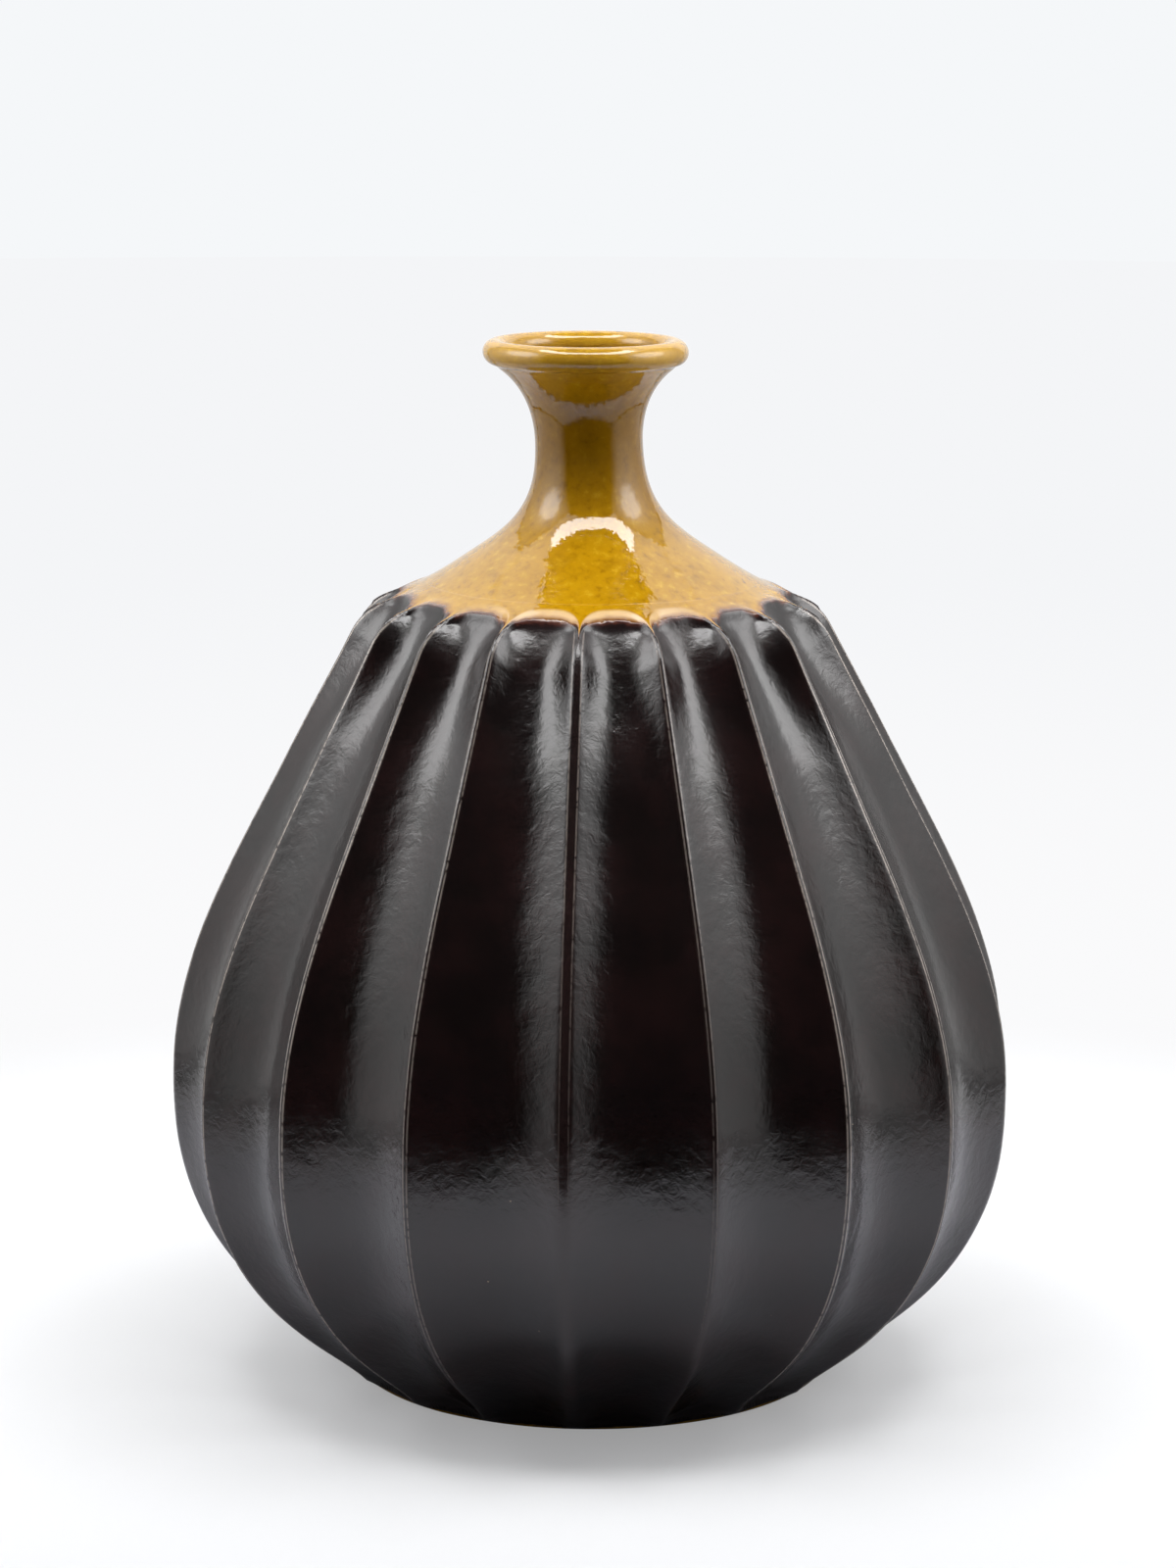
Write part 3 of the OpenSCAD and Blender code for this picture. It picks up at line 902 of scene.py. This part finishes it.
# %% [markdown]
# ## Bare clay
#
# The foot and the underside are wiped clean so that the pot doesn't stick to the kiln
# shelf. Fired stoneware is matt, roughness about 0.8, a warm buff with dark iron specks,
# and it keeps the fine rings of the turning tool, which a wave texture draws.

# %% Bare stoneware recipe
CLAY_ROUGHNESS = 0.82
CLAY_IOR = 1.5
TURNED_RINGS = ("TexWave", {"wave_type": "RINGS", "rings_direction": "Z"})

bare_clay, tree = new_material("bare_stoneware")
where = add(tree, "TexCoord").outputs["Object"]
sand = add(tree, "TexNoise", Vector=where, Scale=per_metre(1.2), Detail=4.0)
patches = add(tree, "TexNoise", Vector=where, Scale=per_metre(20), Detail=2.0)
specks = add(tree, "TexVoronoi", Vector=where, Scale=per_metre(2.5))
patchy = add(tree, FADE, patches, 0.35, 0.65)
colour = add(tree, BLEND, patchy, linear("#c9b596"), linear("#b79f7e"))
colour = add(tree, BLEND, add(tree, TIMES, sand, 0.35), colour, linear("#8d765a"))
colour = add(tree, BLEND, add(tree, FADE, specks, 0.16, 0.06), colour, linear("#4e3a2b"))
rings = add(tree, TURNED_RINGS, Vector=where, Scale=per_metre(12), Distortion=0.6, Detail=2.0)
relief = add(tree, PLUS, add(tree, TIMES, sand, 0.08), add(tree, TIMES, rings, 0.05))
finish_surface(tree, colour, CLAY_ROUGHNESS, relief, CLAY_IOR)

# %% [markdown]
# ## Dressing the pieces
#
# Each turned piece stands in for its section of the frame and gets its glaze. The floor and the
# foot ring are plain turned discs, and nothing would be gained by turning them again, so the
# frame's own meshes stay and get the bare clay.

# %% Dress the pieces
for piece, node, slot, material in (
    (lip, "lip", "amber_glaze", amber_glaze),
    (neck, "neck", "amber_glaze", amber_glaze),
    (shoulder, "shoulder", "amber_glaze", amber_glaze),
    (body, "fluted_body", "dark_glaze", body_glaze),
):
    piece.data.materials.append(material)
    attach(piece, "root")
    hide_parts(node)
    print(piece.name, "stands in for", node)
for node in ("floor", "foot_ring"):
    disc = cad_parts[node]
    disc.data.materials.clear()
    disc.data.materials.append(bare_clay)

# %% [markdown]
# ## The paper floor
#
# The pot stands on white paper that runs up behind it. A curved sheet would show a horizon or a
# bend somewhere, so this is a flat disc that fades to the glow of the backdrop. The camera sees a
# third of that glow near the pot too, which lifts the shadow, and the paper is darker towards the
# camera, where less light reaches it. The glaze mirrors the paper with a painted shade beside the
# foot, and dark outside the tent.

# %% Mix the paper
# The fades are in metres, from the axis or along Y.
PAPER = "#d9dadc"
PAPER_FRONT = "#babbbe"
PAPER_MIRRORED = "#d3d3da"
PAPER_SHADE_BY_FOOT = "#a9a9b0"
PAPER_UNLIT = "#0c0c0c"
FAR_GLOW = "#fafafb"
FURTHEST_GLOW = "#f4f5f7"
FRONT_GLOW = "#eeeef0"
SHADOW_LIFT = 0.33
FAR_FADE = (0.26, 0.44)
FURTHEST_FADE = (0.40, 1.60)
TO_CAMERA_FADE = (-0.02, -0.34)
BY_FOOT_FADE = (0.08, 0.20)
UNLIT_FADE = (-0.30, -0.43)

paper, tree = new_material("white_paper")
where = add(tree, "TexCoord").outputs["Object"]
place = add(tree, "SeparateXYZ", Vector=where).outputs
by_camera = add(tree, "LightPath").outputs["Is Camera Ray"]
from_pot = add(tree, ("VectorMath", {"operation": "LENGTH"}), where)
far_off = add(tree, FADE, from_pot, *FAR_FADE)
glow_share = add(tree, LARGER, add(tree, TIMES, by_camera, SHADOW_LIFT), far_off)
distant = add(tree, FADE, from_pot, *FURTHEST_FADE)
to_front = add(tree, FADE, place["Y"], *TO_CAMERA_FADE)
to_front = add(tree, TIMES, to_front, add(tree, FADE, distant, 0.6, 0.1))
glow_colour = add(tree, BLEND, distant, linear(FAR_GLOW), linear(FURTHEST_GLOW))
glow_colour = add(tree, BLEND, to_front, glow_colour, linear(FRONT_GLOW))
seen_colour = add(tree, BLEND, to_front, linear(PAPER), linear(PAPER_FRONT))
# Painted shade: to reflections the paper is darker beside the foot.
clear_of_foot = add(tree, FADE, from_pot, *BY_FOOT_FADE)
mirrored = add(tree, BLEND, clear_of_foot, linear(PAPER_SHADE_BY_FOOT), linear(PAPER_MIRRORED))
paper_colour = add(tree, BLEND, by_camera, mirrored, seen_colour)
unlit = add(tree, FADE, place["Y"], *UNLIT_FADE)
unlit = add(tree, TIMES, unlit, add(tree, MINUS, 1.0, by_camera))
near_paper = add(tree, "BsdfDiffuse", Color=paper_colour)
far_paper = add(tree, "Emission", Color=glow_colour, Strength=1.0)
mixed = add(tree, "MixShader", glow_share, near_paper, far_paper)
dark_paper = add(tree, "BsdfDiffuse", Color=linear(PAPER_UNLIT))
add(tree, "OutputMaterial", Surface=add(tree, "MixShader", unlit, mixed, dark_paper))
print("paper of", len(tree.nodes), "nodes")

# %% Lay the paper
FLOOR_REACH = 4.0


def stage_object(name, mesh, material):
    """Makes a thing of the studio, which isn't part of the pot."""
    data = bpy.data.meshes.new(name)
    mesh.to_mesh(data)
    mesh.free()
    data.materials.append(material)
    thing = bpy.data.objects.new(name, data)
    bpy.context.scene.collection.objects.link(thing)
    return thing


floor_mesh = bmesh.new()
bmesh.ops.create_circle(floor_mesh, cap_ends=True, radius=FLOOR_REACH, segments=96)
paper_floor = stage_object("paper_floor", floor_mesh, paper)
print(paper_floor.name, "reaches", FLOOR_REACH, "m")

# %% [markdown]
# ## The walls of the light tent
#
# A glossy pot is photographed in a light tent, a cube of white cloth with an open front,
# because it mirrors all that stands round it. Lamps would give hard spots, so the cloth
# is a box that glows by a rule, and the camera doesn't see it. Each side wall has a soft
# bright spot and ends in a slanting front edge, and the right one reaches a little
# further. The back wall is brighter towards the top, and the seams are dark. The open
# front gives the dark columns in the flutes and on the neck.

# %% Glow of the walls
# Places are in metres, and a glow of 1 is cloth that looks white.
TENT_HALF = 0.43
TENT_BACK = 0.47
TENT_TOP = 0.90
TENT_FRONT = -0.48
SEAM = 0.02
SKIN = 0.001
WALL_GLOW = 0.75
HAZE_GLOW = 1.7
HAZE_REACH = 0.44
HAZE_CORE = 0.05
SPOT_GLOW = 3.6
SPOT_HEIGHT = 0.545
SPOT_Y = -0.06
SPOT_REACH = 0.22
FRONT_EDGE = (-0.40, -0.16)
FRONT_FROM = 0.19
FRONT_SLANT = 0.2
SLANT_DOWN_TO = -0.06
RIGHT_FURTHER = 0.05
BACK_GLOW = 0.5
BACK_RISE = 1.75

cloth, tree = new_material("tent_cloth")
place = add(tree, "SeparateXYZ", Vector=add(tree, "TexCoord").outputs["Object"]).outputs
on_wall = add(tree, "CombineXYZ", Y=place["Y"], Z=place["Z"])
spot_at = (0.0, SPOT_Y, SPOT_HEIGHT)
from_spot = add(tree, ("VectorMath", {"operation": "DISTANCE"}), on_wall, spot_at)
haze_glow = add(tree, TIMES, add(tree, FADE, from_spot, HAZE_REACH, HAZE_CORE), HAZE_GLOW)
spot_glow = add(tree, FADE, from_spot, SPOT_REACH, SPOT_REACH / 2)
spot_glow = add(tree, TIMES, spot_glow, SPOT_GLOW)
higher = add(tree, LARGER, add(tree, MINUS, place["Z"], FRONT_FROM), SLANT_DOWN_TO)
slanted = add(tree, PLUS, place["Y"], add(tree, TIMES, higher, FRONT_SLANT))
on_right = add(tree, FADE, place["X"], -0.01, 0.01)
slanted = add(tree, PLUS, slanted, add(tree, TIMES, on_right, RIGHT_FURTHER))
side_glow = add(tree, PLUS, haze_glow, WALL_GLOW)
side_glow = add(tree, TIMES, side_glow, add(tree, FADE, slanted, *FRONT_EDGE))
side_glow = add(tree, PLUS, side_glow, spot_glow)
back_glow = add(tree, PLUS, add(tree, TIMES, place["Z"], BACK_RISE), BACK_GLOW)
is_back = add(tree, FADE, place["Y"], TENT_BACK - 2 * SKIN, TENT_BACK - SKIN)
side_part = add(tree, TIMES, side_glow, add(tree, MINUS, 1.0, is_back))
wall_glow = add(tree, PLUS, add(tree, TIMES, back_glow, is_back), side_part)
side_clear = add(tree, FADE, place["Y"], TENT_BACK - SEAM / 2, TENT_BACK - SEAM)
from_middle = add(tree, UNSIGNED, place["X"])
back_clear = add(tree, FADE, from_middle, TENT_HALF - SEAM / 2, TENT_HALF - SEAM)
off_seam = add(tree, LARGER, side_clear, add(tree, TIMES, back_clear, is_back))
for ends in ((SEAM / 2, SEAM), (TENT_TOP - SEAM / 2, TENT_TOP - SEAM)):
    off_seam = add(tree, TIMES, off_seam, add(tree, FADE, place["Z"], *ends))
wall_glow = add(tree, TIMES, wall_glow, off_seam)
print("wall of", len(tree.nodes), "nodes")

# %% [markdown]
# ## The roof of the light tent
#
# A bright frame of lamps lies on the cloth round an oval hole that is left dark. The
# dome mirrors it as a white arc round an amber patch, and the neck as pale ovals. The
# front strip of the roof is dark, or the tops of the flutes would mirror it.

# %% Glow of the roof
ROOF_GLOW = 2.0
ROOF_FRONT = -0.35
ROOF_FADE = 0.02
BAR_GLOW = 12.0
BAR_CENTRE = (0.03, -0.07)
BAR_REACH = (0.38, 0.30)
BAR_END = 0.25
BAR_FADE = 0.05
HOLE_CENTRE = (0.01, 0.085)
HOLE_REACH = (0.225, 0.265)
OVAL_POWER = 2.5
OVAL_EDGE = (1.08, 0.92)


def inside_oval(tree, place, centre, reach):
    """1 inside a rounded rectangle on the roof and 0 outside it."""
    powers = []
    for axis in range(2):
        off = add(tree, UNSIGNED, add(tree, MINUS, place[axis], centre[axis]))
        share = add(tree, ("Math", {"operation": "DIVIDE"}), off, reach[axis])
        powers.append(add(tree, ("Math", {"operation": "POWER"}), share, OVAL_POWER))
    return add(tree, FADE, add(tree, PLUS, *powers), *OVAL_EDGE)


in_hole = inside_oval(tree, place, HOLE_CENTRE, HOLE_REACH)
in_bars = inside_oval(tree, place, BAR_CENTRE, BAR_REACH)
before_end = add(tree, FADE, place["Y"], BAR_END + BAR_FADE, BAR_END - BAR_FADE)
in_bars = add(tree, TIMES, in_bars, before_end)
roof_glow = add(tree, PLUS, add(tree, TIMES, in_bars, BAR_GLOW - ROOF_GLOW), ROOF_GLOW)
roof_glow = add(tree, TIMES, roof_glow, add(tree, MINUS, 1.0, in_hole))
behind_front = add(tree, FADE, place["Y"], ROOF_FRONT - ROOF_FADE, ROOF_FRONT)
roof_glow = add(tree, TIMES, roof_glow, behind_front)
is_roof = add(tree, FADE, place["Z"], TENT_TOP - 2 * SKIN, TENT_TOP - SKIN)
wall_part = add(tree, TIMES, wall_glow, add(tree, MINUS, 1.0, is_roof))
glow = add(tree, PLUS, add(tree, TIMES, roof_glow, is_roof), wall_part)
light = add(tree, "Emission", Color=(1.0, 1.0, 1.0, 1.0), Strength=glow)
add(tree, "OutputMaterial", Surface=light)
print("cloth of", len(tree.nodes), "nodes")

# %% Put up the tent
tent_mesh = bmesh.new()
bmesh.ops.create_cube(tent_mesh, size=1.0)
tent_depth = TENT_BACK - TENT_FRONT
bmesh.ops.scale(tent_mesh, vec=(2 * TENT_HALF, tent_depth, TENT_TOP), verts=tent_mesh.verts[:])
tent_middle = (0, (TENT_BACK + TENT_FRONT) / 2, TENT_TOP / 2)
bmesh.ops.translate(tent_mesh, vec=tent_middle, verts=tent_mesh.verts[:])
open_sides = [f for f in tent_mesh.faces if f.normal.y < -0.9 or f.normal.z < -0.9]
bmesh.ops.delete(tent_mesh, geom=open_sides, context="FACES")
bmesh.ops.reverse_faces(tent_mesh, faces=tent_mesh.faces[:])
tent = stage_object("light_tent", tent_mesh, cloth)
tent.visible_camera = False
print("tent", round(2 * TENT_HALF, 2), "m wide and", TENT_TOP, "m high")

# %% [markdown]
# ## The world
#
# Behind the pot the world is the pale backdrop, to the camera and to reflections. All
# other light of the world is a dim grey, because the tent gives the light.

# %% World
BACKDROP = "#f5f7f9"
DIM = "#26262a"

world = bpy.data.worlds.new("studio")
bpy.context.scene.world = world
world.use_nodes = True
sky = world.node_tree
sky.nodes.clear()
ray = add(sky, "LightPath").outputs
way = add(sky, "SeparateXYZ", Vector=add(sky, "TexCoord").outputs["Generated"]).outputs["Y"]
behind = add(sky, FADE, way, -0.05, 0.05)
mirrors = add(sky, LARGER, ray["Is Glossy Ray"], ray["Is Transmission Ray"])
seen = add(sky, LARGER, ray["Is Camera Ray"], add(sky, TIMES, mirrors, behind))
sky_colour = add(sky, BLEND, seen, linear(DIM), linear(BACKDROP))
sky_light = add(sky, "Background", Color=sky_colour, Strength=1.0)
add(sky, "OutputWorld", Surface=sky_light)
print("world of", len(sky.nodes), "nodes")

# %% [markdown]
# ## The camera
#
# The picture was taken from a little above the lip with a long lens, about 1.2 m away
# and tilted down by eleven degrees. In an upright picture the sensor's 36 mm lie along
# its height, so a field of 19.7 degrees is a lens of 103.5 mm.

# %% Camera
CAMERA_AWAY = 1.1873
CAMERA_HEIGHT = 0.3912
CAMERA_TILT = 10.99
CAMERA_TURN = 0.084
CAMERA_ROLL = -0.15
CAMERA_LENS = 103.5

camera_data = bpy.data.cameras.new("camera")
camera_data.lens = CAMERA_LENS
camera_data.clip_start = 0.05
camera = bpy.data.objects.new("camera", camera_data)
bpy.context.scene.collection.objects.link(camera)
camera.location = (0, -CAMERA_AWAY, CAMERA_HEIGHT)
camera.rotation_mode = "XYZ"
turns = (90 - CAMERA_TILT, CAMERA_ROLL, CAMERA_TURN)
camera.rotation_euler = [math.radians(turn) for turn in turns]
bpy.context.scene.camera = camera
bpy.context.scene.view_settings.view_transform = "Standard"
print(f"lens {camera_data.lens:.1f} mm")
